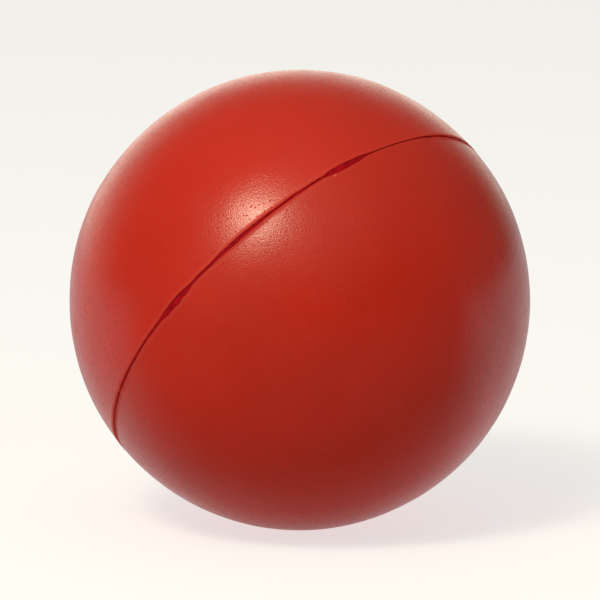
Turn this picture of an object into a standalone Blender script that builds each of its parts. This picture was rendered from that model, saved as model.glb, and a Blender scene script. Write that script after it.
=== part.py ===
"""A moulded foam stress ball: two skin halves, the web under their parting line, and the foam core.

Units are metres, +Z is up. The origin is the middle of the flat that the ball rests on. The parting line is a
great circle of the ball, tilted so that it is highest on the +X side. Each turned shape is drawn about its own
local Z, the line square to the parting line, and is then tilted into place about the ball's centre. The ball is
squeezed straight down, along -Z.
"""

import math

import bpy

BALL_RADIUS = 0.0315
REST_RADIUS = 0.004
SEAM_TILT = math.radians(50.0)

SKIN_THICKNESS = 0.0012
SEAM_GAP = 0.00045
SHOULDER_RADIUS = 0.0008
CLEARANCE = 0.0003

WEB_THICKNESS = 0.001
WEB_HALF_HEIGHT = 0.002

TURN_STEPS = 60
OUTER_POINTS = 18
INNER_POINTS = 12
SHOULDER_POINTS = 4
MERGE = 0.00001

CUTTER_SIDE = 0.02

CENTRE_HEIGHT = math.sqrt(BALL_RADIUS**2 - REST_RADIUS**2)
SKIN_INNER_RADIUS = BALL_RADIUS - SKIN_THICKNESS
CORE_RADIUS = SKIN_INNER_RADIUS - CLEARANCE
WEB_OUTER_RADIUS = SKIN_INNER_RADIUS - CLEARANCE
WEB_INNER_RADIUS = WEB_OUTER_RADIUS - WEB_THICKNESS
CHANNEL_RADIUS = WEB_INNER_RADIUS - CLEARANCE
CHANNEL_HALF_HEIGHT = WEB_HALF_HEIGHT + CLEARANCE

RED_SKIN = (0.50, 0.026, 0.013)
DARK_WEB = (0.20, 0.004, 0.006)
FOAM_RED = (0.55, 0.10, 0.07)


def clear_scene():
    """Removes what the startup file holds."""
    for obj in list(bpy.data.objects):
        bpy.data.objects.remove(obj)


def new_collection(name):
    collection = bpy.data.collections.new(name)
    bpy.context.scene.collection.children.link(collection)
    return collection


def plastic(name, colour, roughness):
    """A Principled material of one colour."""
    material = bpy.data.materials.new(name)
    material.use_nodes = True
    shader = material.node_tree.nodes["Principled BSDF"]
    shader.inputs["Base Color"].default_value = (*colour, 1.0)
    shader.inputs["Roughness"].default_value = roughness
    shader.inputs["Metallic"].default_value = 0.0
    return material


def arc(radius, start, end, count):
    """Points (x, z) on a circle about the centre; the angles are measured down from the local Z axis."""
    points = []
    for i in range(count):
        angle = start + (end - start) * i / (count - 1)
        points.append((radius * math.sin(angle), radius * math.cos(angle)))
    return points


def skin_profile():
    """The section of one skin half, from its outer pole over the rounded shoulder to its inner pole."""
    rim_height = SEAM_GAP / 2
    bead_height = rim_height + SHOULDER_RADIUS
    bead_reach = math.sqrt((BALL_RADIUS - SHOULDER_RADIUS) ** 2 - bead_height**2)
    bead_angle = math.atan2(bead_reach, bead_height)
    outer = arc(BALL_RADIUS, 0.0, bead_angle, OUTER_POINTS)
    outer[0] = (0.0, BALL_RADIUS)
    shoulder = []
    for i in range(1, SHOULDER_POINTS + 1):
        angle = bead_angle + (math.pi - bead_angle) * i / SHOULDER_POINTS
        x = bead_reach + SHOULDER_RADIUS * math.sin(angle)
        shoulder.append((x, bead_height + SHOULDER_RADIUS * math.cos(angle)))
    inner_angle = math.acos(rim_height / SKIN_INNER_RADIUS)
    inner = arc(SKIN_INNER_RADIUS, inner_angle, 0.0, INNER_POINTS)
    inner[-1] = (0.0, SKIN_INNER_RADIUS)
    return outer + shoulder + inner


def web_profile():
    """The section of the band under the parting line: a flat strip, wider than the gap that it closes."""
    top = WEB_HALF_HEIGHT
    outer_edge = math.sqrt(WEB_OUTER_RADIUS**2 - top**2)
    return [
        (outer_edge, top),
        (WEB_OUTER_RADIUS, 0.0),
        (outer_edge, -top),
        (WEB_INNER_RADIUS, -top),
        (WEB_INNER_RADIUS, top),
    ]


def core_profile():
    """The section of the core: a ball with a shallow channel round its middle for the web."""
    edge_angle = math.acos(CHANNEL_HALF_HEIGHT / CORE_RADIUS)
    upper = arc(CORE_RADIUS, 0.0, edge_angle, OUTER_POINTS - 2)
    upper[0] = (0.0, CORE_RADIUS)
    upper.append((CHANNEL_RADIUS, CHANNEL_HALF_HEIGHT))
    lower = [(x, -z) for x, z in reversed(upper)]
    return upper + lower


def turned_mesh(name, profile, closed):
    """A mesh that holds a profile in the XZ plane as a chain of edges, ready for a Screw modifier."""
    edges = [(i, i + 1) for i in range(len(profile) - 1)]
    if closed:
        edges.append((len(profile) - 1, 0))
    mesh = bpy.data.meshes.new(name)
    mesh.from_pydata([(x, 0.0, z) for x, z in profile], edges, [])
    return mesh


def turned_object(name, mesh, tilt, collection):
    """An object whose chain of edges is turned about its local Z, with that axis tilted by an angle about Y."""
    obj = bpy.data.objects.new(name, mesh)
    obj.location = (0.0, 0.0, CENTRE_HEIGHT)
    obj.rotation_euler = (0.0, tilt, 0.0)
    collection.objects.link(obj)
    screw = obj.modifiers.new("turn", "SCREW")
    screw.axis = "Z"
    screw.angle = 2 * math.pi
    screw.steps = TURN_STEPS
    screw.render_steps = TURN_STEPS
    screw.use_merge_vertices = True
    screw.merge_threshold = MERGE
    screw.use_smooth_shade = True
    return obj


def rest_cutter(collection):
    """The block whose top takes the flat off the underside of the ball."""
    bpy.ops.mesh.primitive_cube_add(size=CUTTER_SIDE, location=(0.0, 0.0, -CUTTER_SIDE / 2))
    cutter = bpy.context.object
    cutter.name = "rest_cutter"
    for home in list(cutter.users_collection):
        home.objects.unlink(cutter)
    collection.objects.link(cutter)
    cutter.hide_render = True
    cutter.display_type = "WIRE"
    return cutter


def make_skins(parts, cutters):
    """Both skin halves share one section; the lower one is turned over and takes the flat that the ball rests on."""
    mesh = turned_mesh("skin_half", skin_profile(), closed=False)
    mesh.materials.append(plastic("red_skin", RED_SKIN, 0.38))
    turned_object("upper_skin", mesh, -SEAM_TILT, parts)
    lower = turned_object("lower_skin", mesh, math.pi - SEAM_TILT, parts)
    flat = lower.modifiers.new("rest_flat", "BOOLEAN")
    flat.operation = "DIFFERENCE"
    flat.solver = "EXACT"
    flat.object = rest_cutter(cutters)


def make_web(parts):
    """The dark band that closes the parting line between the two skin halves."""
    mesh = turned_mesh("seam_web", web_profile(), closed=True)
    mesh.materials.append(plastic("dark_web", DARK_WEB, 0.5))
    turned_object("seam_web", mesh, -SEAM_TILT, parts)


def make_core(parts):
    """The springy foam that fills the ball."""
    mesh = turned_mesh("foam_core", core_profile(), closed=False)
    mesh.materials.append(plastic("foam_red", FOAM_RED, 0.9))
    turned_object("foam_core", mesh, -SEAM_TILT, parts)


def main():
    clear_scene()
    parts = new_collection("stress_ball")
    cutters = new_collection("cutters")
    make_skins(parts, cutters)
    make_web(parts)
    make_core(parts)


main()
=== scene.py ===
"""Finished surfaces for a moulded foam stress ball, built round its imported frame.

The ball is two skin halves that meet in a tilted parting line, a crimson strip that shows down in the line,
and the foam core inside. Every surface is a grid of latitude and azimuth about the parting line: latitude is
measured from the line's plane, azimuth round it, from its highest point. Lengths are metres and +Z is up.
"""

import math

import bpy
import numpy as np
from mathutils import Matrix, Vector


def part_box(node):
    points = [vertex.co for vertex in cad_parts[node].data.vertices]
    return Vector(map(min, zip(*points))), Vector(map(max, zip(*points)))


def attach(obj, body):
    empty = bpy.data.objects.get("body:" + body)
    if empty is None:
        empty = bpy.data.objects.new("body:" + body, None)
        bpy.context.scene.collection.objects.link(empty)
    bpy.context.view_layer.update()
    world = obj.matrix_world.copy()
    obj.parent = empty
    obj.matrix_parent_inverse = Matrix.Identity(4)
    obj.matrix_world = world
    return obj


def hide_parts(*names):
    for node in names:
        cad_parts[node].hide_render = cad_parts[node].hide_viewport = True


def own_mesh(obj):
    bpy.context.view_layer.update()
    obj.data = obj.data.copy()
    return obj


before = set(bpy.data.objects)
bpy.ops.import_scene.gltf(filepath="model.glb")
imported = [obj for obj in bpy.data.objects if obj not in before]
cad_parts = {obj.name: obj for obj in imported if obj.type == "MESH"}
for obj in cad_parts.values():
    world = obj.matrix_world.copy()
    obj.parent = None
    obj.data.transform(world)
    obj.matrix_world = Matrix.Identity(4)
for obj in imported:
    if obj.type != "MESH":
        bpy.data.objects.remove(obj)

bl_info = {
    "name": "Stress ball",
    "version": (1, 0, 0),
    "blender": (4, 5, 0),
    "location": "3D View > Sidebar > Stress ball",
    "description": "Builds the skin, seam strip, foam core and studio of a moulded foam stress ball",
    "category": "Object",
}

MM = 0.001

# The grid round the ball.
SKIN_COLUMNS = 896
CORE_COLUMNS = 320
OUTER_ROWS = 80
SHOULDER_ROWS = 6
WALL_ROWS = 8
INNER_ROWS = 14
FINEST_STEP = 0.07 * MM
COARSEST_STEP = 1.15 * MM
FLANK_ROWS = 8
RIDGE_ROWS = 16
UNDER_ROWS = 8
CORE_ROWS = 100

# How far pieces stay from each other, and the small shapes that aren't worth a slider.
FIT = 0.05 * MM
STRIP_FIT = 0.004 * MM
# How deep below the lip the skin fully takes the strip's crimson, which is partly painted shade.
SLIT_CRIMSON_AND_SHADE_DEPTH = 0.12 * MM
NARROWEST = 0.05 * MM
FLAT_SOFTNESS = 0.03 * MM
LIP_REACH = 0.45 * MM
EDGE_FADE = 6.0 * MM
DULL_REACH = 0.55 * MM
DULL_ROUGHNESS = 0.75
CHANNEL_BLEND = 0.6 * MM
INNER_CROWDING = 1.5
SMOOTH_ANGLE = math.radians(60)
SKIN_IOR = 1.50

# The strip: how much deeper it lies per metre of opening, how much shallower it lies at the upper lip than
# at the lower one, how square its ridge is, and the height and wavelength of its roughness.
OPENING_DEEPER = 0.16
FLUSH_SHARE = 0.8
RIDGE_SQUARENESS = 200
STRIP_ROUGHNESS = ((0.03 * MM, 0.9 * MM), (0.02 * MM, 3 * MM))

# The skin's broad lumps, its dimples and the core's cells: the wavelength of each.
LUMP_LENGTH = 22 * MM
DIMPLE_LENGTH = 6 * MM
CELL_LENGTH = 1.9 * MM

# Waves of the lips' wander round the ball: slow ones, fine ones with their share of the height, and the ragged
# edge of the openings.
SLOW_WAVES = 26
FINE_WAVES = 120
FINE_SHARE = 0.35
RAGGED_WAVES = 80
# How much of an opening each lip gives way, and how ragged the lip is there.
UPPER_OPENING = (0.42, 0.04)
LOWER_OPENING = (0.58, 0.10)

# Places where the mould left the parting line open: azimuth of both ends in degrees, the share of the length
# at which it is widest, how sharply it ends at the first end, and its extra width.
OPENINGS = (
    (-31.5, -18.5, 0.42, 0.70, 0.56 * MM),
    (-86.5, -73.5, 0.50, 1.10, 0.64 * MM),
    (-69.0, -46.0, 0.40, 1.20, 0.20 * MM),
    (38.0, 47.0, 0.35, 0.60, 0.34 * MM),
    (141.0, 152.0, 0.60, 1.00, 0.40 * MM),
)
# Bridges of foam across the line, and longer stretches where it is nearly shut: azimuth in degrees, half
# length and the share of the width that is closed.
BRIDGES = (
    (-113.0, 0.30 * MM, 0.9),
    (88.0, 0.25 * MM, 0.9),
    (-8.5, 4.8 * MM, 0.75),
    (119.0, 5.5 * MM, 0.6),
)
# Crumbs on the lower lip, small raised bumps whose pale colour is a painted glint: azimuth in degrees.
CRUMBS = (-29.3, 152.3)
CRUMB_RADIUS = 0.18 * MM
CRUMB_HEIGHT = 0.10 * MM
CRUMB_GLINT_COLOUR = (0.62, 0.12, 0.09, 1.0)


def node_points(name):
    """The vertices of a CAD node as an array of rows."""
    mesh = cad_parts[name].data
    points = np.empty(len(mesh.vertices) * 3)
    mesh.vertices.foreach_get("co", points)
    return points.reshape(-1, 3)


def frame_box():
    """The lowest and highest corner of all CAD nodes."""
    boxes = [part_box(name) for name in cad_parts]
    low = np.min([np.array(corner) for corner, _ in boxes], axis=0)
    high = np.max([np.array(corner) for _, corner in boxes], axis=0)
    return low, high


def seam_axes():
    """Three unit vectors: towards the seam's highest point, along its level diameter, and square to its plane.

    The plane is the one that the web's vertices spread least across, by singular value decomposition.
    """
    points = node_points("seam_web")
    normal = np.linalg.svd(points - points.mean(axis=0), full_matrices=False)[2][2]
    normal = normal * np.sign(normal[2])
    level = np.cross((0.0, 0.0, -1.0), normal)
    level /= np.linalg.norm(level)
    high = np.cross(level, normal)
    return high, level, normal


LOW, HIGH = frame_box()
TOP = float(HIGH[2])
RADIUS = float(HIGH[1] - LOW[1]) / 2
CENTRE = np.array([(LOW[0] + HIGH[0]) / 2, (LOW[1] + HIGH[1]) / 2, TOP - RADIUS])
SEAM_HIGH, SEAM_LEVEL, SEAM_NORMAL = seam_axes()


def spread_of(name):
    """The least and greatest distance of a CAD node's vertices from the ball's centre."""
    distance = np.linalg.norm(node_points(name) - CENTRE, axis=1)
    return float(distance.min()), float(distance.max())


def height_of(name):
    """How far a CAD node reaches from the seam's plane."""
    return float(np.abs((node_points(name) - CENTRE) @ SEAM_NORMAL).max())


WEB_INNER, WEB_OUTER = spread_of("seam_web")
CORE_INNER, CORE_OUTER = spread_of("foam_core")
SKIN_INNER = spread_of("upper_skin")[0]
WEB_HALF_HEIGHT = height_of("seam_web")


class BallShape(bpy.types.PropertyGroup):
    """Sizes of the skin, the parting line and the foam."""

    slit_half_width: bpy.props.FloatProperty(
        name="Slit half width",
        description="How far each lip stands from the middle of the parting line",
        default=0.15 * MM,
        min=0.05 * MM,
        max=1.0 * MM,
        subtype="DISTANCE",
        unit="LENGTH",
    )
    slit_wander: bpy.props.FloatProperty(
        name="Slit wander",
        description="How much each lip wanders along the parting line",
        default=0.02 * MM,
        min=0.0,
        max=0.2 * MM,
        subtype="DISTANCE",
        unit="LENGTH",
    )
    slit_depth: bpy.props.FloatProperty(
        name="Slit depth",
        description="How deep the crimson strip lies at the lower lip",
        default=0.13 * MM,
        min=0.02 * MM,
        max=1.0 * MM,
        subtype="DISTANCE",
        unit="LENGTH",
    )
    upper_shoulder: bpy.props.FloatProperty(
        name="Upper shoulder",
        description="Rounding of the upper skin's lip",
        default=0.07 * MM,
        min=0.02 * MM,
        max=0.8 * MM,
        subtype="DISTANCE",
        unit="LENGTH",
    )
    lower_shoulder: bpy.props.FloatProperty(
        name="Lower shoulder",
        description="Rounding of the lower skin's lip",
        default=0.14 * MM,
        min=0.02 * MM,
        max=0.8 * MM,
        subtype="DISTANCE",
        unit="LENGTH",
    )
    lip_rise: bpy.props.FloatProperty(
        name="Lip rise",
        description="How far both lips swell above the ball",
        default=0.04 * MM,
        min=0.0,
        max=0.5 * MM,
        subtype="DISTANCE",
        unit="LENGTH",
    )
    lumps: bpy.props.FloatProperty(
        name="Lumps",
        description="Height of the broad unevenness of the moulded skin",
        default=0.04 * MM,
        min=0.0,
        max=0.5 * MM,
        subtype="DISTANCE",
        unit="LENGTH",
    )
    dimples: bpy.props.FloatProperty(
        name="Dimples",
        description="Height of the smaller unevenness of the moulded skin",
        default=0.006 * MM,
        min=0.0,
        max=0.1 * MM,
        subtype="DISTANCE",
        unit="LENGTH",
    )
    foam_cells: bpy.props.FloatProperty(
        name="Foam cells",
        description="Depth of the open cells on the core",
        default=0.15 * MM,
        min=0.0,
        max=0.5 * MM,
        subtype="DISTANCE",
        unit="LENGTH",
    )


class BallFinish(bpy.types.PropertyGroup):
    """Colours and gloss of the foam."""

    skin_colour: bpy.props.FloatVectorProperty(
        name="Skin",
        description="Colour of the moulded skin",
        default=(0.555, 0.0168, 0.0036),
        min=0.0,
        max=1.0,
        subtype="COLOR",
    )
    slit_colour: bpy.props.FloatVectorProperty(
        name="Slit",
        description="Colour down in the parting line",
        default=(0.36, 0.0008, 0.007),
        min=0.0,
        max=1.0,
        subtype="COLOR",
    )
    foam_colour: bpy.props.FloatVectorProperty(
        name="Foam",
        description="Colour of the foam core",
        default=(0.55, 0.10, 0.07),
        min=0.0,
        max=1.0,
        subtype="COLOR",
    )
    lower_tone: bpy.props.FloatProperty(
        name="Lower tone",
        description="Brightness of the lower skin next to the upper one",
        default=0.94,
        min=0.5,
        max=1.5,
        subtype="FACTOR",
    )
    gloss: bpy.props.FloatProperty(
        name="Roughness",
        description="Roughness of the skin",
        default=0.26,
        min=0.05,
        max=1.0,
        subtype="FACTOR",
    )


class BallStudio(bpy.types.PropertyGroup):
    """Camera and light."""

    azimuth: bpy.props.FloatProperty(
        name="Camera azimuth",
        description="Angle of the camera round the ball, from -Y towards +X",
        default=math.radians(38.39),
        subtype="ANGLE",
        unit="ROTATION",
    )
    elevation: bpy.props.FloatProperty(
        name="Camera elevation",
        description="Angle of the camera above the level",
        default=math.radians(9.54),
        subtype="ANGLE",
        unit="ROTATION",
    )
    lens: bpy.props.FloatProperty(
        name="Lens",
        description="Focal length of the camera",
        default=345.0,
        min=10.0,
        subtype="DISTANCE_CAMERA",
        unit="CAMERA",
    )
    key_strength: bpy.props.FloatProperty(
        name="Key light",
        description="Power of the warm lamp above the ball",
        default=2.90,
        min=0.0,
        subtype="POWER",
        unit="POWER",
    )
    glow_strength: bpy.props.FloatProperty(
        name="Key glow",
        description="Power of the wide soft box round the warm lamp",
        default=3.40,
        min=0.0,
        subtype="POWER",
        unit="POWER",
    )
    room_strength: bpy.props.FloatProperty(
        name="Room light",
        description="Strength of the light from the pale walls round the ball",
        default=1.0,
        min=0.0,
    )


def seam_direction(azimuth, latitude):
    """Unit vectors from the ball's centre: azimuth round the seam, latitude towards its normal."""
    around = np.multiply.outer(np.cos(azimuth), SEAM_HIGH) + np.multiply.outer(np.sin(azimuth), SEAM_LEVEL)
    level_part = around * np.cos(latitude)[..., None]
    return level_part + np.multiply.outer(np.sin(latitude), SEAM_NORMAL)


def ripple(points, wavelength, seed, count=24):
    """Smooth bumps of about unit height: plane waves of one wavelength in seeded directions, summed."""
    source = np.random.default_rng(seed)
    directions = source.normal(size=(count, 3))
    directions *= 2 * math.pi / wavelength / np.linalg.norm(directions, axis=1, keepdims=True)
    phases = source.uniform(0.0, 2 * math.pi, count)
    return np.sin(points @ directions.T + phases).sum(axis=-1) * math.sqrt(2 / count)


def wander(azimuth, waves, seed, count=10):
    """A smooth closed curve of about unit height: sines with whole numbers of waves round the ball."""
    source = np.random.default_rng(seed)
    turns = source.integers(waves // 2, waves * 2, count)
    phases = source.uniform(0.0, 2 * math.pi, count)
    return np.sin(np.multiply.outer(azimuth, turns) + phases).sum(axis=-1) * math.sqrt(2 / count)


def turned_from(azimuth, degrees):
    """The angle from one azimuth in degrees to each of the others, between minus and plus half a turn."""
    return (azimuth - math.radians(degrees) + math.pi) % (2 * math.pi) - math.pi


def opening_width(azimuth):
    """How far the openings part the lips.

    Along an opening, with t from 0 to 1, the width is t^a (1 - t)^b over its own maximum, at t = a / (a + b).
    """
    width = np.zeros_like(azimuth)
    for start, end, widest, bluntness, extra in OPENINGS:
        along = np.clip(turned_from(azimuth, start) / math.radians(end - start), 0.0, 1.0)
        other = bluntness * (1 - widest) / widest
        peak = widest**bluntness * (1 - widest) ** other
        width += extra * along**bluntness * (1 - along) ** other / peak
    return width


def slit_pinch(azimuth):
    """1 where the slit is open, less at each bridge: 1 - share exp(-(distance / half length)^4)."""
    pinch = np.ones_like(azimuth)
    for degrees, half_length, share in BRIDGES:
        distance = turned_from(azimuth, degrees) * RADIUS / half_length
        pinch -= share * np.exp(-np.minimum(distance**2, 9.0) ** 2)
    return pinch


def lip_edge(azimuth, side, shape):
    """How far a lip stands from the seam's plane: half the slit, its wander and the ragged openings."""
    edge = shape.slit_half_width + shape.slit_wander * wander(azimuth, SLOW_WAVES, 11 + side)
    edge += FINE_SHARE * shape.slit_wander * wander(azimuth, FINE_WAVES, 21 + side)
    edge *= slit_pinch(azimuth)
    share, roughness = UPPER_OPENING if side > 0 else LOWER_OPENING
    edge += opening_width(azimuth) * share * (1.0 + roughness * wander(azimuth, RAGGED_WAVES, 31 + side))
    return np.maximum(edge, NARROWEST)


def crumb_height(azimuth, distance):
    """Height of the crumbs on the lower lip: bells one crumb's radius back from the lip."""
    height = np.zeros(np.broadcast(azimuth, distance).shape)
    for degrees in CRUMBS:
        along = turned_from(azimuth, degrees) * RADIUS
        height += CRUMB_HEIGHT * np.exp(-(along**2 + (distance - CRUMB_RADIUS) ** 2) / CRUMB_RADIUS**2)
    return height


def rest_on_floor(points):
    """Lifts what would lie below the floor: z becomes the mean of z and the root of z^2 plus a softness^2."""
    points[..., 2] = (points[..., 2] + np.sqrt(points[..., 2] ** 2 + FLAT_SOFTNESS**2)) / 2
    return points


def skin_rows(azimuth, side, shape):
    """Latitude, radius and painted marks of every ring of a skin half, from its outer pole to its inner pole.

    Outside, the radius is the ball's plus lumps plus a lip that swells by rise exp(-distance / reach). A
    quarter circle rounds the lip, a straight wall goes down the slit, and the inner surface is a plain part of
    a ball. The skin dulls towards the slit by exp(-(distance / reach)^2).
    """
    edge = lip_edge(azimuth, side, shape)
    shoulder = shape.upper_shoulder if side > 0 else shape.lower_shoulder
    steps = np.geomspace(FINEST_STEP, COARSEST_STEP, OUTER_ROWS)
    distance = np.cumsum(steps)
    quarter = math.pi / 2 * RADIUS
    distance = (distance - distance[0]) * (quarter - shoulder) / (distance[-1] - distance[0])
    distance = distance[:-1, None][::-1]
    fade = np.exp(-distance / EDGE_FADE)
    outer_latitude = (shoulder + distance + edge * fade * (1 - (distance + shoulder) / quarter)) / RADIUS
    swell = shape.lip_rise * np.exp(-distance / LIP_REACH)
    crumbs = crumb_height(azimuth, distance) * (side < 0)
    swell = swell + crumbs

    lip_latitude = (edge + shoulder) / RADIUS
    lip_points = seam_direction(azimuth, side * lip_latitude) * RADIUS
    lip_radius = RADIUS + skin_height(lip_points, shape) + swell[-1]
    outer_directions = seam_direction(np.broadcast_to(azimuth, outer_latitude.shape), side * outer_latitude)
    outer_radius = RADIUS + skin_height(outer_directions * RADIUS, shape) + swell

    turn = np.linspace(0.0, math.pi / 2, SHOULDER_ROWS + 1)[1:, None]
    shoulder_latitude = (edge + shoulder * (1 - np.sin(turn))) / RADIUS
    shoulder_radius = lip_radius - shoulder * (1 - np.cos(turn))

    down = np.linspace(0.0, 1.0, WALL_ROWS + 1)[1:, None]
    wall_radius = shoulder_radius[-1] * (1 - down) + SKIN_INNER * down
    wall_latitude = np.broadcast_to(edge / RADIUS, wall_radius.shape)

    back = np.linspace(0.0, 1.0, INNER_ROWS + 1)[1:-1, None] ** INNER_CROWDING
    inner_latitude = edge / RADIUS * (1 - back) + math.pi / 2 * back
    inner_radius = np.full(inner_latitude.shape, SKIN_INNER)

    latitude = np.concatenate([outer_latitude, shoulder_latitude, wall_latitude, inner_latitude])
    radius = np.concatenate([outer_radius, shoulder_radius, wall_radius, inner_radius])
    outside = slice(0, len(distance))
    # The strip's crimson on the skin's shoulder and wall, partly painted shade: it grows the deeper they lie
    # below the lip.
    slit_crimson_and_shade = np.clip((lip_radius - radius) / SLIT_CRIMSON_AND_SHADE_DEPTH, 0.0, 1.0)
    slit_crimson_and_shade[outside] = 0.0
    dull = np.ones(radius.shape)
    dull[outside] = np.exp(-np.minimum((distance / DULL_REACH) ** 2, 30.0))
    # Where the crumbs stand, for their painted glint.
    crumb = np.zeros(radius.shape)
    crumb[outside] = crumbs / CRUMB_HEIGHT
    return latitude, radius, {"slit_crimson_and_shade": slit_crimson_and_shade, "dull": dull, "crumb": crumb}


def skin_height(points, shape):
    """Unevenness of the moulded skin: broad lumps and smaller dimples."""
    lumps = shape.lumps * ripple(points, LUMP_LENGTH, 3)
    return lumps + shape.dimples * ripple(points, DIMPLE_LENGTH, 4)


def ring_azimuths(columns):
    """Evenly spaced azimuths of a grid's columns."""
    return np.arange(columns) * 2 * math.pi / columns


def capped_faces(rings, columns):
    """Faces of a grid of rings with a pole at either end, as index arrays: a fan, quads, and a fan.

    Vertex 0 is the first pole, then come the rings one after another, and the last vertex is the other pole.
    """
    index = 1 + np.arange(rings * columns).reshape(rings, columns)
    beside = np.roll(index, -1, axis=1)
    quads = np.stack([index[:-1], index[1:], beside[1:], beside[:-1]], axis=-1).reshape(-1, 4)
    first = np.stack([np.zeros(columns, int), index[0], beside[0]], axis=-1)
    last = np.stack([index[-1], np.full(columns, rings * columns + 1), beside[-1]], axis=-1)
    return quads, np.concatenate([first, last])


def looped_faces(rings, columns):
    """Quads of a grid that closes on itself both ways."""
    index = np.arange(rings * columns).reshape(rings, columns)
    above = np.roll(index, -1, axis=0)
    corners = [index, np.roll(index, -1, axis=1), np.roll(above, -1, axis=1), above]
    return np.stack(corners, axis=-1).reshape(-1, 4)


def make_piece(name, points, faces, material, attributes):
    """A smooth mesh object from arrays of points and faces, with float attributes on its points."""
    mesh = bpy.data.meshes.new(name)
    corners = [row for block in faces for row in block.tolist()]
    mesh.from_pydata(points.reshape(-1, 3).tolist(), [], corners)
    for attribute_name, values in attributes.items():
        attribute = mesh.attributes.new(attribute_name, "FLOAT", "POINT")
        attribute.data.foreach_set("value", values.astype(np.float32).ravel())
    mesh.shade_smooth()
    mesh.set_sharp_from_angle(angle=SMOOTH_ANGLE)
    mesh.materials.append(material)
    piece = bpy.data.objects.new(name, mesh)
    bpy.context.scene.collection.objects.link(piece)
    return piece


def with_poles(first, rings, last):
    """The points of a capped grid in the order that capped_faces expects."""
    return np.concatenate([first.reshape(1, 3), rings.reshape(-1, 3), last.reshape(1, 3)])


def make_skin(name, side, tone):
    """One skin half as a closed shell: side 1 is above the parting line and -1 below."""
    shape = bpy.context.scene.ball_shape
    azimuth = ring_azimuths(SKIN_COLUMNS)
    latitude, radius, marks = skin_rows(azimuth, side, shape)
    rings = seam_direction(np.broadcast_to(azimuth, latitude.shape), side * latitude)
    outer_pole = SEAM_NORMAL * side * (RADIUS + skin_height(SEAM_NORMAL * side * RADIUS, shape))
    inner_pole = SEAM_NORMAL * side * SKIN_INNER
    points = with_poles(outer_pole, rings * radius[..., None], inner_pole) + CENTRE
    quads, fans = capped_faces(len(radius), SKIN_COLUMNS)
    if side < 0:
        quads = quads[:, ::-1]
        fans = fans[:, ::-1]
    attributes = {}
    for mark, rows in marks.items():
        attributes[mark] = np.concatenate([rows[:1, 0], rows.ravel(), rows[-1:, 0]])
    return make_piece(name, rest_on_floor(points), (quads, fans), skin_material(name, tone), attributes)


def make_strip():
    """The crimson strip in the parting line: a flat band with a rough ridge that stands in the slit.

    Across the ridge, with t from -1 to 1, its height is its full height times 1 - t^squareness, so it fills
    the slit. It slopes from its full depth at the lower lip to nearly flush with the upper one.
    """
    shape = bpy.context.scene.ball_shape
    azimuth = ring_azimuths(SKIN_COLUMNS)
    upper_edge = lip_edge(azimuth, 1, shape) - STRIP_FIT
    lower_edge = STRIP_FIT - lip_edge(azimuth, -1, shape)
    half_height = WEB_HALF_HEIGHT - FIT
    across = np.sin(np.linspace(-math.pi / 2, math.pi / 2, RIDGE_ROWS))[:, None]
    flank = np.linspace(0.0, 1.0, FLANK_ROWS, endpoint=False)[:, None]
    lower_flank = -half_height * (1 - flank) + lower_edge * flank
    ridge = (lower_edge + upper_edge) / 2 + across * (upper_edge - lower_edge) / 2
    upper_flank = (upper_edge * (1 - flank) + half_height * flank)[1:]
    outer = np.concatenate([lower_flank, ridge, upper_flank])
    under = np.linspace(half_height, -half_height, UNDER_ROWS)[:, None] + 0 * azimuth
    offset = np.concatenate([outer, under])

    ridge_height = 1 - across[:, 0] ** RIDGE_SQUARENESS
    raised = np.concatenate([np.zeros(len(lower_flank)), ridge_height, np.zeros(len(upper_flank))])
    directions = seam_direction(np.broadcast_to(azimuth, outer.shape), outer / RADIUS)
    rough = 0.0
    for seed, (height, wavelength) in enumerate(STRIP_ROUGHNESS, 41):
        rough = rough + height * ripple(directions * RADIUS, wavelength, seed)
    line = seam_direction(azimuth, 0 * azimuth) * RADIUS
    surface = RADIUS + skin_height(line, shape) + shape.lip_rise / 2
    depth = shape.slit_depth + OPENING_DEEPER * opening_width(azimuth)
    rise = np.concatenate([np.zeros(len(lower_flank)), (1 + across[:, 0]) / 2, np.ones(len(upper_flank))])
    full_height = surface - WEB_OUTER - depth * (1 - FLUSH_SHARE * rise[:, None])
    outer_radius = WEB_OUTER - FIT + raised[:, None] * (full_height + rough)
    under_radius = np.full(under.shape, WEB_INNER + FIT)
    radius = np.concatenate([outer_radius, under_radius])
    directions = seam_direction(np.broadcast_to(azimuth, offset.shape), offset / RADIUS)
    points = CENTRE + directions * radius[..., None]
    faces = (looped_faces(len(offset), SKIN_COLUMNS),)
    return make_piece("seam_strip", points, faces, slit_material("seam_strip"), {})


def make_core():
    """The foam core: a ball with a channel for the strip, dented all over by cells.

    The channel is blended with a smooth step, and a cell's depth is the depth set times |ripple| / 2.
    """
    shape = bpy.context.scene.ball_shape
    azimuth = ring_azimuths(CORE_COLUMNS)
    latitude = np.linspace(math.pi / 2, -math.pi / 2, CORE_ROWS + 2)[1:-1, None] + 0 * azimuth
    directions = seam_direction(np.broadcast_to(azimuth, latitude.shape), latitude)
    poles = np.stack([SEAM_NORMAL, -SEAM_NORMAL])
    bubbles = np.abs(ripple(directions * CORE_OUTER, CELL_LENGTH, 51))
    cell_depth = shape.foam_cells * np.minimum(bubbles / 2, 1.0)
    away = np.abs(np.sin(latitude)) * CORE_OUTER
    step = np.clip((away - WEB_HALF_HEIGHT - FIT) / CHANNEL_BLEND, 0.0, 1.0)
    radius = CORE_INNER + (CORE_OUTER - CORE_INNER) * step**2 * (3 - 2 * step) - cell_depth
    rings = directions * radius[..., None]
    points = with_poles(poles[0] * CORE_OUTER, rings, poles[1] * CORE_OUTER) + CENTRE
    quads, fans = capped_faces(CORE_ROWS, CORE_COLUMNS)
    return make_piece("foam_body", points, (quads, fans), foam_material("foam_body"), {})


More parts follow.
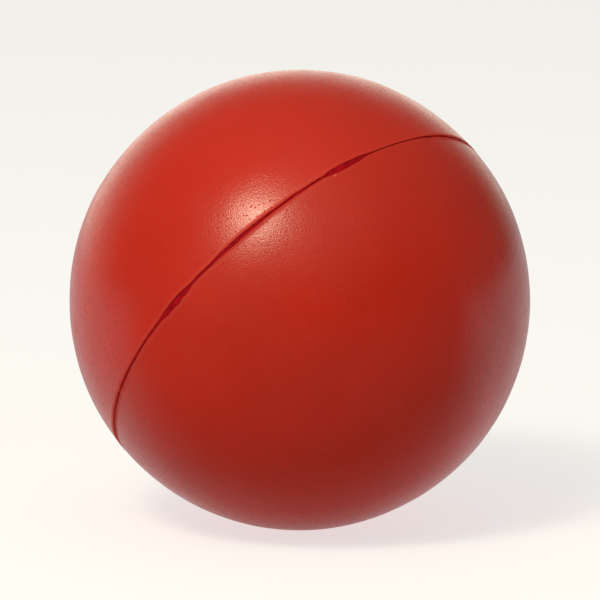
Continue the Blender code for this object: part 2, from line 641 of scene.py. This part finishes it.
class Recipe:
    """A new material's node tree, with short calls to add nodes and join them."""

    def __init__(self, name):
        self.material = bpy.data.materials.new(name)
        self.material.use_nodes = True
        self.tree = self.material.node_tree
        self.shader = self.tree.nodes["Principled BSDF"]
        self.place = self.add("ShaderNodeTexCoord").outputs["Object"]

    def add(self, kind, **settings):
        """A node with the settings given."""
        node = self.tree.nodes.new(kind)
        for setting, value in settings.items():
            setattr(node, setting, value)
        return node

    def join(self, value, socket):
        """Links an output to an input, or sets the input to a plain value."""
        if isinstance(value, bpy.types.NodeSocket):
            self.tree.links.new(value, socket)
        else:
            socket.default_value = value

    def noise(self, size, detail=2.0):
        """Cloudy noise with features of a size in metres, from 0 to 1."""
        node = self.add("ShaderNodeTexNoise")
        self.join(self.place, node.inputs["Vector"])
        node.inputs["Scale"].default_value = 1 / size
        node.inputs["Detail"].default_value = detail
        return node.outputs["Fac"]

    def cells(self, size):
        """Distance from the middle of random cells, and a random number for each cell."""
        node = self.add("ShaderNodeTexVoronoi")
        self.join(self.place, node.inputs["Vector"])
        node.inputs["Scale"].default_value = 1 / size
        return node.outputs["Distance"], node.outputs["Color"]

    def spread(self, value, low, high, to_low, to_high):
        """A value moved from one range to another, and kept inside it."""
        node = self.add("ShaderNodeMapRange", interpolation_type="SMOOTHSTEP")
        self.join(value, node.inputs["Value"])
        node.inputs["From Min"].default_value = low
        node.inputs["From Max"].default_value = high
        node.inputs["To Min"].default_value = to_low
        node.inputs["To Max"].default_value = to_high
        return node.outputs["Result"]

    def maths(self, operation, first, second):
        """One sum on two values."""
        node = self.add("ShaderNodeMath", operation=operation)
        self.join(first, node.inputs[0])
        self.join(second, node.inputs[1])
        return node.outputs[0]

    def mix(self, share, first, second):
        """A number between two others."""
        node = self.add("ShaderNodeMix")
        self.join(share, node.inputs["Factor"])
        self.join(first, node.inputs["A"])
        self.join(second, node.inputs["B"])
        return node.outputs["Result"]

    def tint(self, share, first, second):
        """A colour between two others."""
        node = self.add("ShaderNodeMix", data_type="RGBA")
        self.join(share, node.inputs["Factor"])
        self.join(first, node.inputs["A"])
        self.join(second, node.inputs["B"])
        return node.outputs["Result"]

    def relief(self, height):
        """Bump from a height in micrometres."""
        node = self.add("ShaderNodeBump")
        node.inputs["Distance"].default_value = 0.001 * MM
        self.join(height, node.inputs["Height"])
        self.join(node.outputs["Normal"], self.shader.inputs["Normal"])


def toned(colour, tone):
    """A colour times a tone, as a node wants it."""
    return (*(min(channel * tone, 1.0) for channel in colour), 1.0)


def skin_material(name, tone):
    """The ball's skin: fine grain, soft peel and pinholes darkened with painted shade, cloudy colour, the
    strip's crimson partly painted as shade down in the slit, and crumbs with a painted glint.
    """
    finish = bpy.context.scene.ball_finish
    recipe = Recipe(name)
    clouds = recipe.noise(16 * MM, 3.0)
    light = toned(finish.skin_colour, tone * 1.04)
    deep = toned(finish.skin_colour, tone * 0.96)
    colour = recipe.tint(recipe.spread(clouds, 0.3, 0.7, 0.0, 1.0), deep, light)

    distance, chance = recipe.cells(0.5 * MM)
    hole = recipe.spread(distance, 0.14, 0.32, 1.0, 0.0)
    chosen = recipe.spread(chance, 0.36, 0.50, 0.0, 1.0)
    pinhole = recipe.maths("MULTIPLY", hole, chosen)
    # Painted shade: the pinholes are tinted towards dark crimson for the shade and lost highlight in each pit.
    colour = recipe.tint(recipe.maths("MULTIPLY", pinhole, 0.22), colour, toned(finish.slit_colour, 0.6))

    # Down the slit the skin takes the strip's crimson, partly painted shade that deepens below the lip.
    slit_crimson_and_shade = recipe.add("ShaderNodeAttribute", attribute_name="slit_crimson_and_shade").outputs["Fac"]
    colour = recipe.tint(slit_crimson_and_shade, colour, toned(finish.slit_colour, 1.0))
    # Painted glint: the crumbs' pale colour stands in for a glint on the lower lip.
    crumb = recipe.add("ShaderNodeAttribute", attribute_name="crumb").outputs["Fac"]
    colour = recipe.tint(recipe.spread(crumb, 0.25, 0.70, 0.0, 1.0), colour, CRUMB_GLINT_COLOUR)
    recipe.join(colour, recipe.shader.inputs["Base Color"])

    grain = recipe.maths("MULTIPLY", recipe.noise(0.21 * MM, 1.0), 20.0)
    peel = recipe.maths("MULTIPLY", recipe.noise(0.6 * MM, 1.0), 8.0)
    height = recipe.maths("ADD", grain, peel)
    height = recipe.maths("SUBTRACT", height, recipe.maths("MULTIPLY", pinhole, 8.0))
    recipe.relief(height)
    rough = recipe.spread(recipe.noise(5 * MM), 0.3, 0.7, finish.gloss - 0.025, finish.gloss + 0.025)
    dull = recipe.add("ShaderNodeAttribute", attribute_name="dull").outputs["Fac"]
    dullest = recipe.maths("MULTIPLY", recipe.maths("MAXIMUM", dull, pinhole), DULL_ROUGHNESS)
    recipe.join(recipe.maths("MAXIMUM", rough, dullest), recipe.shader.inputs["Roughness"])
    recipe.shader.inputs["IOR"].default_value = SKIN_IOR
    return recipe.material


def slit_material(name):
    """The strip in the parting line: crimson, matt and torn."""
    finish = bpy.context.scene.ball_finish
    recipe = Recipe(name)
    clouds = recipe.spread(recipe.noise(1.4 * MM, 3.0), 0.3, 0.7, 0.0, 1.0)
    colour = recipe.tint(clouds, toned(finish.slit_colour, 0.8), toned(finish.slit_colour, 1.1))
    recipe.join(colour, recipe.shader.inputs["Base Color"])
    recipe.relief(recipe.maths("MULTIPLY", recipe.noise(0.25 * MM, 2.0), 30.0))
    rough = recipe.spread(recipe.noise(0.8 * MM), 0.3, 0.7, 0.60, 0.80)
    recipe.join(rough, recipe.shader.inputs["Roughness"])
    recipe.shader.inputs["Specular IOR Level"].default_value = 0.1
    return recipe.material


def foam_material(name):
    """The open foam inside: pale red walls round cells darkened with painted shade."""
    finish = bpy.context.scene.ball_finish
    recipe = Recipe(name)
    distance, _ = recipe.cells(0.8 * MM)
    wall = recipe.spread(distance, 0.25, 0.62, 0.0, 1.0)
    # Painted shade: the cell hollows are darkened to less than half the foam's colour.
    colour = recipe.tint(wall, toned(finish.foam_colour, 0.45), toned(finish.foam_colour, 1.1))
    recipe.join(colour, recipe.shader.inputs["Base Color"])
    recipe.relief(recipe.maths("MULTIPLY", wall, 120.0))
    rough = recipe.spread(recipe.noise(2 * MM), 0.3, 0.7, 0.85, 0.95)
    recipe.join(rough, recipe.shader.inputs["Roughness"])
    return recipe.material


def flatten_with_squeeze(piece):
    """Gives a piece its own copy of its mesh data."""
    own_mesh(piece)


class BALL_OT_skins(bpy.types.Operator):
    """Build both halves of the moulded skin"""

    bl_idname = "ball.skins"
    bl_label = "Skin halves"

    def execute(self, context):
        finish = context.scene.ball_finish
        upper = make_skin("upper_skin_shell", 1, 1.0)
        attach(upper, "upper")
        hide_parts("upper_skin")
        lower = make_skin("lower_skin_shell", -1, finish.lower_tone)
        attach(lower, "lower")
        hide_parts("lower_skin")
        for skin, anchor_height in ((upper, TOP), (lower, 0.0)):
            flatten_with_squeeze(skin)
        return {"FINISHED"}


class BALL_OT_strip(bpy.types.Operator):
    """Build the crimson strip in the parting line"""

    bl_idname = "ball.strip"
    bl_label = "Seam strip"

    def execute(self, context):
        strip = make_strip()
        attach(strip, "web")
        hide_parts("seam_web")
        flatten_with_squeeze(strip)
        return {"FINISHED"}


class BALL_OT_core(bpy.types.Operator):
    """Build the foam core"""

    bl_idname = "ball.core"
    bl_label = "Foam core"

    def execute(self, context):
        core = make_core()
        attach(core, "lower")
        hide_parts("foam_core")
        flatten_with_squeeze(core)
        return {"FINISHED"}


CAMERA_DISTANCE = 25 * RADIUS
KEY_DIRECTION = Vector((0.105, -0.674, 0.731))
KEY_DISTANCE = 1.0
KEY_RADIUS = 0.10
GLOW_RADIUS = 0.25
KEY_COLOUR = (1.0, 0.90, 0.66)
FLOOR_RADIUS = 2.5
FLOOR_SEEN = 0.42
FLOOR_LIFT = 0.66
# What soft light and what reflections meet on the floor: its shade, then the ramp of its glow, from one place
# towards the back to another, and the strengths there. Reflections see a darker floor in front of the ball.
FLOOR_SOFT = (0.42, (-26 * MM, -2 * MM, 0.22, 0.62))
FLOOR_MIRRORED = (0.10, (-32 * MM, 12 * MM, 0.05, 0.60))
ROOM_SEEN = 1.0
ROOM_COLOUR = (1.0, 0.93, 0.78, 1.0)
# The pale walls of the room: how far each lies to the camera's right, behind the ball and overhead, how
# narrow its glow is, and how bright it is.
WALLS = (
    ("backdrop", (0, 1, 0), 10, 1.70),
    ("left_back", (-0.7, 1, 0), 12, 0.85),
    ("left_wall", (-1, 0, 0), 2, 0.16),
    ("left_front", (-1, -1, 0), 6, 0.33),
    ("right_wall", (1, 0, 0), 2, 0.20),
    ("ceiling", (0, 0, 1), 2, 0.38),
    ("front_ceiling", (0, -1, 1), 6, 0.53),
)


def outward(azimuth, elevation):
    """The direction from the ball to a camera at an azimuth from -Y towards +X and an elevation."""
    level = math.cos(elevation)
    return Vector((math.sin(azimuth) * level, -math.cos(azimuth) * level, math.sin(elevation)))


def make_camera(studio):
    camera = bpy.data.objects.new("camera", bpy.data.cameras.new("camera"))
    camera.data.lens = studio.lens
    direction = outward(studio.azimuth, studio.elevation)
    camera.location = Vector(CENTRE) + direction * CAMERA_DISTANCE
    camera.rotation_euler = direction.to_track_quat("Z", "Y").to_euler()
    bpy.context.scene.collection.objects.link(camera)
    bpy.context.scene.camera = camera


def make_lamp(name, radius, power):
    """A round warm soft box that faces the ball."""
    light = bpy.data.lights.new(name, "AREA")
    light.shape = "DISK"
    light.size = 2 * radius
    light.energy = power
    light.color = KEY_COLOUR
    lamp = bpy.data.objects.new(name, light)
    lamp.location = Vector(CENTRE) + KEY_DIRECTION * KEY_DISTANCE
    lamp.rotation_euler = KEY_DIRECTION.to_track_quat("Z", "Y").to_euler()
    bpy.context.scene.collection.objects.link(lamp)


def make_room(studio):
    """Light from the walls: each adds brightness times the cosine to its middle raised to its narrowness."""
    world = bpy.data.worlds.new("room")
    world.use_nodes = True
    tree = world.node_tree

    def maths(operation, first, second):
        node = tree.nodes.new("ShaderNodeMath")
        node.operation = operation
        for value, socket in zip((first, second), node.inputs):
            if isinstance(value, bpy.types.NodeSocket):
                tree.links.new(value, socket)
            else:
                socket.default_value = value
        return node.outputs[0]

    away = -outward(studio.azimuth, 0.0)
    right = away.cross((0.0, 0.0, 1.0))
    direction = tree.nodes.new("ShaderNodeTexCoord").outputs["Generated"]
    total = 0.0
    for name, (rightward, backward, upward), narrowness, brightness in WALLS:
        cosine = tree.nodes.new("ShaderNodeVectorMath")
        cosine.operation = "DOT_PRODUCT"
        cosine.label = name
        tree.links.new(direction, cosine.inputs[0])
        middle = right * rightward + away * backward + Vector((0, 0, upward))
        cosine.inputs[1].default_value = middle.normalized()
        lobe = maths("POWER", maths("MAXIMUM", cosine.outputs["Value"], 0.0), narrowness)
        total = maths("ADD", maths("MULTIPLY", lobe, brightness * studio.room_strength), total)
    seen = tree.nodes.new("ShaderNodeLightPath").outputs["Is Camera Ray"]
    strength = tree.nodes.new("ShaderNodeMix")
    tree.links.new(seen, strength.inputs["Factor"])
    tree.links.new(total, strength.inputs["A"])
    strength.inputs["B"].default_value = ROOM_SEEN
    tree.links.new(strength.outputs["Result"], tree.nodes["Background"].inputs["Strength"])
    tone = tree.nodes.new("ShaderNodeMix")
    tone.data_type = "RGBA"
    tree.links.new(seen, tone.inputs["Factor"])
    tone.inputs["A"].default_value = ROOM_COLOUR
    tone.inputs["B"].default_value = (1.0, 1.0, 1.0, 1.0)
    tree.links.new(tone.outputs["Result"], tree.nodes["Background"].inputs["Color"])
    bpy.context.scene.world = world


def make_floor(studio):
    """A wide pale disc at the height of the rest face. It glows behind the ball, as a backlit sweep does."""
    bpy.ops.mesh.primitive_circle_add(vertices=96, radius=FLOOR_RADIUS, fill_type="NGON")
    floor = bpy.context.object
    floor.name = "floor"
    recipe = Recipe("pale_floor")
    behind = recipe.add("ShaderNodeVectorMath", operation="DOT_PRODUCT")
    recipe.join(recipe.place, behind.inputs[0])
    behind.inputs[1].default_value = -outward(studio.azimuth, 0.0)
    rays = recipe.add("ShaderNodeLightPath")
    soft_glow = recipe.spread(behind.outputs["Value"], *FLOOR_SOFT[1])
    mirrored_glow = recipe.spread(behind.outputs["Value"], *FLOOR_MIRRORED[1])
    glow = recipe.mix(rays.outputs["Is Glossy Ray"], soft_glow, mirrored_glow)
    glow = recipe.mix(rays.outputs["Is Camera Ray"], glow, FLOOR_LIFT)
    shade = recipe.mix(rays.outputs["Is Glossy Ray"], FLOOR_SOFT[0], FLOOR_MIRRORED[0])
    shade = recipe.mix(rays.outputs["Is Camera Ray"], shade, FLOOR_SEEN)
    recipe.join(shade, recipe.shader.inputs["Base Color"])
    recipe.join(glow, recipe.shader.inputs["Emission Strength"])
    recipe.shader.inputs["Emission Color"].default_value = (1.0, 1.0, 1.0, 1.0)
    recipe.shader.inputs["Roughness"].default_value = 1.0
    recipe.shader.inputs["Specular IOR Level"].default_value = 0.0
    floor.data.materials.append(recipe.material)


class BALL_OT_studio(bpy.types.Operator):
    """Set up the camera, the lights, the room and the floor"""

    bl_idname = "ball.studio"
    bl_label = "Studio"

    def execute(self, context):
        studio = context.scene.ball_studio
        make_camera(studio)
        make_lamp("key_lamp", KEY_RADIUS, studio.key_strength)
        make_lamp("key_glow", GLOW_RADIUS, studio.glow_strength)
        make_room(studio)
        make_floor(studio)
        context.scene.view_settings.view_transform = "Standard"
        return {"FINISHED"}


class BALL_PT_builder(bpy.types.Panel):
    """The ball's settings and the buttons that build it"""

    bl_label = "Stress ball"
    bl_idname = "BALL_PT_builder"
    bl_space_type = "VIEW_3D"
    bl_region_type = "UI"
    bl_category = "Stress ball"

    def draw(self, context):
        layout = self.layout
        scene = context.scene
        for settings in (scene.ball_shape, scene.ball_finish, scene.ball_studio):
            box = layout.box()
            for name in settings.__annotations__:
                box.prop(settings, name)
        for operator in BUILD_ORDER:
            layout.operator(operator.bl_idname)


BUILD_ORDER = (BALL_OT_studio, BALL_OT_skins, BALL_OT_strip, BALL_OT_core)
SETTINGS = (("ball_shape", BallShape), ("ball_finish", BallFinish), ("ball_studio", BallStudio))


def register():
    for name, group in SETTINGS:
        bpy.utils.register_class(group)
        setattr(bpy.types.Scene, name, bpy.props.PointerProperty(type=group))
    for kind in (*BUILD_ORDER, BALL_PT_builder):
        bpy.utils.register_class(kind)


def unregister():
    for kind in (BALL_PT_builder, *reversed(BUILD_ORDER)):
        bpy.utils.unregister_class(kind)
    for name, group in reversed(SETTINGS):
        delattr(bpy.types.Scene, name)
        bpy.utils.unregister_class(group)


def main():
    register()
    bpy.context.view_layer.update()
    bpy.ops.ball.studio()
    bpy.ops.ball.skins()
    bpy.ops.ball.strip()
    bpy.ops.ball.core()


if __name__ == "__main__":
    main()
